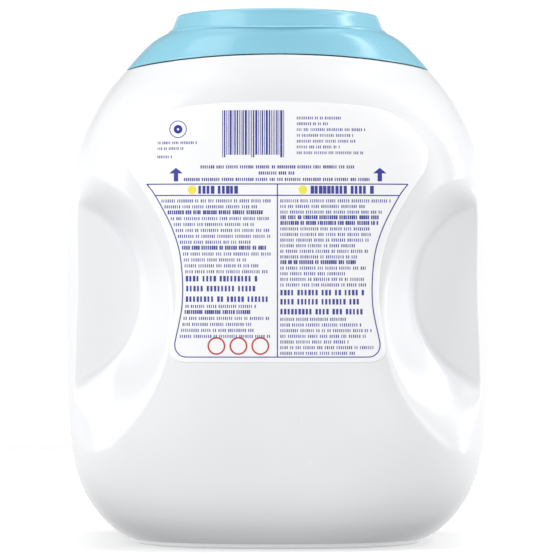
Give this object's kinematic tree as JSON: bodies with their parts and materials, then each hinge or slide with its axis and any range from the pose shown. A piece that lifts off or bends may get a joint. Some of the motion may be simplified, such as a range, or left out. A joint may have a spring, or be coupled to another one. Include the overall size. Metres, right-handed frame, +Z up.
{
  "type": "laundry pod tub",
  "caption": "Wide rounded plastic tub with side grip hollows and an hourglass label, closed by a low lid with a round boss.",
  "frame": {"origin": "middle of the foot, on the surface that the tub stands on", "axes": "+Z up, +X along the width, the two large faces look along -Y (back label) and +Y (front label)"},
  "size_m": [0.2206, 0.1476, 0.276],
  "materials": {
    "tub_plastic": "smooth blow-moulded white plastic",
    "lid_plastic": "smooth moulded pale aqua plastic",
    "liner_foam": "fine closed-cell foam",
    "label_film": "satin printed film"
  },
  "bodies": {
    "tub": {"tub": "tub_plastic", "back_label": "label_film", "front_label": "label_film"},
    "liner": {"liner": "liner_foam"},
    "lid": {"lid": "lid_plastic", "lid_label": "label_film"}
  },
  "joints": [
    {"name": "lid_lift", "type": "slide", "parent": "tub", "child": "liner", "axis": [0, 0, 1], "range_m": [0, 0.06]},
    {"name": "lid_turn", "type": "hinge", "parent": "liner", "child": "lid", "pos_m": [0, 0, 0.27], "axis": [0, 0, 1], "range_deg": [0, 90]}
  ]
}
